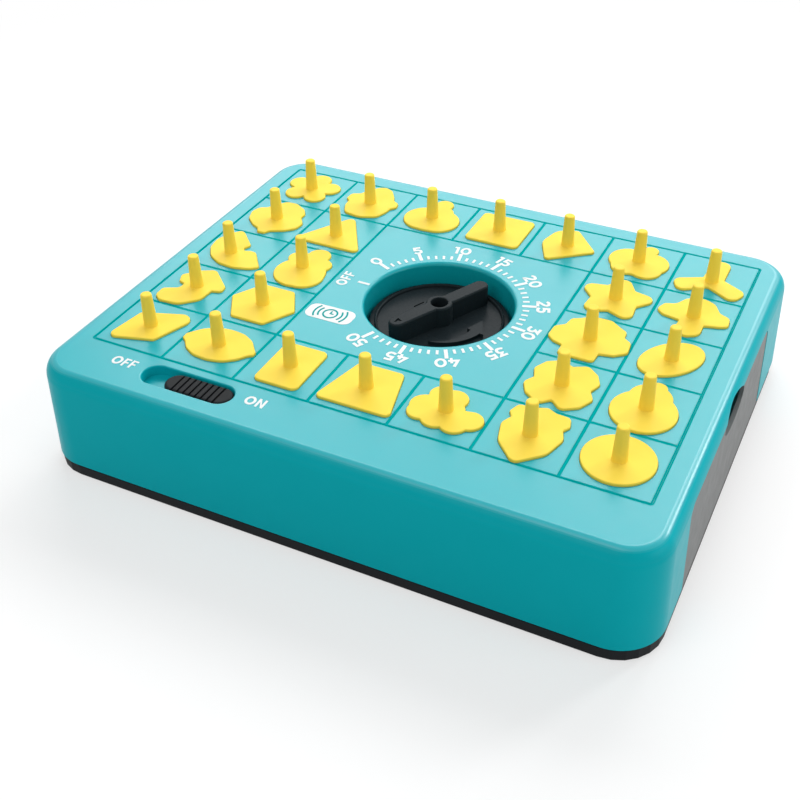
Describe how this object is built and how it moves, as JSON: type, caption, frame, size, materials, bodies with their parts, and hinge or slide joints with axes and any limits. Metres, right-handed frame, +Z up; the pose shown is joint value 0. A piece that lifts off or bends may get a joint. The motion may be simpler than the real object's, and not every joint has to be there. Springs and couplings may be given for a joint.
{
  "type": "pop-up shape timer game",
  "caption": "Boxy shape-matching game: a spring-loaded tray of yellow peg pieces pops up when the clockwork knob timer runs out; slide switch and side drawer.",
  "frame": {"origin": "middle of the bounding box, on the underside of the base", "axes": "+X to the right along the front, towards the drawer side; the switch side faces -Y; +Z up"},
  "size_m": [0.18, 0.145, 0.045],
  "materials": {
    "teal_plastic": "satin moulded",
    "yellow_plastic": "satin moulded",
    "black_plastic": "satin moulded",
    "knob_plastic": "semi-gloss moulded",
    "grey_plastic": "satin moulded",
    "white_plastic": "natural",
    "steel": "plain",
    "brass": "plain"
  },
  "bodies": {
    "case": {"housing": "teal_plastic", "base_plate": "black_plastic", "base_screw_1": "steel", "base_screw_2": "steel", "base_screw_3": "steel", "base_screw_4": "steel", "base_screw_5": "steel", "base_screw_6": "steel", "timer_bottom_plate": "steel", "timer_top_plate": "steel", "timer_screw_1": "steel", "timer_screw_2": "steel", "timer_screw_3": "steel", "timer_screw_4": "steel", "mainspring": "steel", "tray_spring_1": "steel", "tray_spring_2": "steel", "tray_spring_3": "steel", "tray_spring_4": "steel", "latch_screw": "steel", "stop_lever_screw": "steel"},
    "tray": {"tray": "teal_plastic"},
    "knob": {"timer_knob": "knob_plastic", "knob_screw": "steel", "timer_shaft": "steel", "main_gear": "brass", "release_cam": "white_plastic"},
    "second_wheel": {"second_wheel": "brass"},
    "escape_wheel": {"escape_wheel": "brass"},
    "pallet_lever": {"pallet_lever": "steel"},
    "latch_lever": {"latch_lever": "white_plastic"},
    "switch": {"switch_button": "black_plastic"},
    "stop_lever": {"stop_lever": "white_plastic"},
    "drawer": {"storage_drawer": "grey_plastic"},
    "flower": {"piece_flower": "yellow_plastic"},
    "acorn": {"piece_acorn": "yellow_plastic"},
    "pear": {"piece_pear": "yellow_plastic"},
    "square": {"piece_square": "yellow_plastic"},
    "sector": {"piece_sector": "yellow_plastic"},
    "apple": {"piece_apple": "yellow_plastic"},
    "propeller": {"piece_propeller": "yellow_plastic"},
    "turnip": {"piece_turnip": "yellow_plastic"},
    "triangle": {"piece_triangle": "yellow_plastic"},
    "star": {"piece_star": "yellow_plastic"},
    "club": {"piece_club": "yellow_plastic"},
    "crescent": {"piece_crescent": "yellow_plastic"},
    "gourd": {"piece_gourd": "yellow_plastic"},
    "tree": {"piece_tree": "yellow_plastic"},
    "oval": {"piece_oval": "yellow_plastic"},
    "mushroom": {"piece_mushroom": "yellow_plastic"},
    "hexagon": {"piece_hexagon": "yellow_plastic"},
    "clover": {"piece_clover": "yellow_plastic"},
    "snowman": {"piece_snowman": "yellow_plastic"},
    "rhomboid": {"piece_rhomboid": "yellow_plastic"},
    "lemon": {"piece_lemon": "yellow_plastic"},
    "rectangle": {"piece_rectangle": "yellow_plastic"},
    "trapezoid": {"piece_trapezoid": "yellow_plastic"},
    "cloud": {"piece_cloud": "yellow_plastic"},
    "strawberry": {"piece_strawberry": "yellow_plastic"},
    "circle": {"piece_circle": "yellow_plastic"}
  },
  "joints": [
    {"name": "tray_rise", "type": "slide", "parent": "case", "child": "tray", "axis": [0, 0, 1], "range_m": [0, 0.007], "deforming": ["tray_spring_1", "tray_spring_2", "tray_spring_3", "tray_spring_4"]},
    {"name": "timer_turn", "type": "hinge", "parent": "case", "child": "knob", "pos_m": [0, 0.005, 0.02], "axis": [0, 0, 1], "range_deg": [0, 295]},
    {"name": "second_wheel_turn", "type": "hinge", "parent": "case", "child": "second_wheel", "pos_m": [-0.00955, 0.01455, 0.01], "axis": [0, 0, 1], "range_deg": [-1181, 1]},
    {"name": "escape_wheel_turn", "type": "hinge", "parent": "case", "child": "escape_wheel", "pos_m": [-0.01455, 0.00589, 0.01], "axis": [0, 0, 1], "range_deg": [-1, 4721]},
    {"name": "pallet_rock", "type": "hinge", "parent": "case", "child": "pallet_lever", "pos_m": [-0.01455, -0.00291, 0.01], "axis": [0, 0, 1], "range_deg": [-4, 4]},
    {"name": "latch_swing", "type": "hinge", "parent": "case", "child": "latch_lever", "pos_m": [-0.012, 0.017, 0.018], "axis": [0, 0, 1], "range_deg": [-16.5, 0]},
    {"name": "switch_slide", "type": "slide", "parent": "case", "child": "switch", "axis": [1, 0, 0], "range_m": [-0.007, 0]},
    {"name": "stop_lever_swing", "type": "hinge", "parent": "case", "child": "stop_lever", "pos_m": [-0.0405, -0.0292, 0.011], "axis": [0, 0, 1], "range_deg": [-13.6, 0]},
    {"name": "drawer_pull", "type": "slide", "parent": "case", "child": "drawer", "axis": [1, 0, 0], "range_m": [0, 0.05]},
    {"name": "lift_flower", "type": "slide", "parent": "tray", "child": "flower", "axis": [0, 0, 1], "range_m": [0, 0.015]},
    {"name": "lift_acorn", "type": "slide", "parent": "tray", "child": "acorn", "axis": [0, 0, 1], "range_m": [0, 0.015]},
    {"name": "lift_pear", "type": "slide", "parent": "tray", "child": "pear", "axis": [0, 0, 1], "range_m": [0, 0.015]},
    {"name": "lift_square", "type": "slide", "parent": "tray", "child": "square", "axis": [0, 0, 1], "range_m": [0, 0.015]},
    {"name": "lift_sector", "type": "slide", "parent": "tray", "child": "sector", "axis": [0, 0, 1], "range_m": [0, 0.015]},
    {"name": "lift_apple", "type": "slide", "parent": "tray", "child": "apple", "axis": [0, 0, 1], "range_m": [0, 0.015]},
    {"name": "lift_propeller", "type": "slide", "parent": "tray", "child": "propeller", "axis": [0, 0, 1], "range_m": [0, 0.015]},
    {"name": "lift_turnip", "type": "slide", "parent": "tray", "child": "turnip", "axis": [0, 0, 1], "range_m": [0, 0.015]},
    {"name": "lift_triangle", "type": "slide", "parent": "tray", "child": "triangle", "axis": [0, 0, 1], "range_m": [0, 0.015]},
    {"name": "lift_star", "type": "slide", "parent": "tray", "child": "star", "axis": [0, 0, 1], "range_m": [0, 0.015]},
    {"name": "lift_club", "type": "slide", "parent": "tray", "child": "club", "axis": [0, 0, 1], "range_m": [0, 0.015]},
    {"name": "lift_crescent", "type": "slide", "parent": "tray", "child": "crescent", "axis": [0, 0, 1], "range_m": [0, 0.015]},
    {"name": "lift_gourd", "type": "slide", "parent": "tray", "child": "gourd", "axis": [0, 0, 1], "range_m": [0, 0.015]},
    {"name": "lift_tree", "type": "slide", "parent": "tray", "child": "tree", "axis": [0, 0, 1], "range_m": [0, 0.015]},
    {"name": "lift_oval", "type": "slide", "parent": "tray", "child": "oval", "axis": [0, 0, 1], "range_m": [0, 0.015]},
    {"name": "lift_mushroom", "type": "slide", "parent": "tray", "child": "mushroom", "axis": [0, 0, 1], "range_m": [0, 0.015]},
    {"name": "lift_hexagon", "type": "slide", "parent": "tray", "child": "hexagon", "axis": [0, 0, 1], "range_m": [0, 0.015]},
    {"name": "lift_clover", "type": "slide", "parent": "tray", "child": "clover", "axis": [0, 0, 1], "range_m": [0, 0.015]},
    {"name": "lift_snowman", "type": "slide", "parent": "tray", "child": "snowman", "axis": [0, 0, 1], "range_m": [0, 0.015]},
    {"name": "lift_rhomboid", "type": "slide", "parent": "tray", "child": "rhomboid", "axis": [0, 0, 1], "range_m": [0, 0.015]},
    {"name": "lift_lemon", "type": "slide", "parent": "tray", "child": "lemon", "axis": [0, 0, 1], "range_m": [0, 0.015]},
    {"name": "lift_rectangle", "type": "slide", "parent": "tray", "child": "rectangle", "axis": [0, 0, 1], "range_m": [0, 0.015]},
    {"name": "lift_trapezoid", "type": "slide", "parent": "tray", "child": "trapezoid", "axis": [0, 0, 1], "range_m": [0, 0.015]},
    {"name": "lift_cloud", "type": "slide", "parent": "tray", "child": "cloud", "axis": [0, 0, 1], "range_m": [0, 0.015]},
    {"name": "lift_strawberry", "type": "slide", "parent": "tray", "child": "strawberry", "axis": [0, 0, 1], "range_m": [0, 0.015]},
    {"name": "lift_circle", "type": "slide", "parent": "tray", "child": "circle", "axis": [0, 0, 1], "range_m": [0, 0.015]}
  ],
  "couplings": [
    {"joint": "second_wheel_turn", "follows": "timer_turn", "ratio": -4},
    {"joint": "escape_wheel_turn", "follows": "timer_turn", "ratio": 16},
    {"joint": "latch_swing", "follows": "tray_rise", "rad_per_m": -40},
    {"joint": "stop_lever_swing", "follows": "switch_slide", "rad_per_m": 33.113}
  ]
}
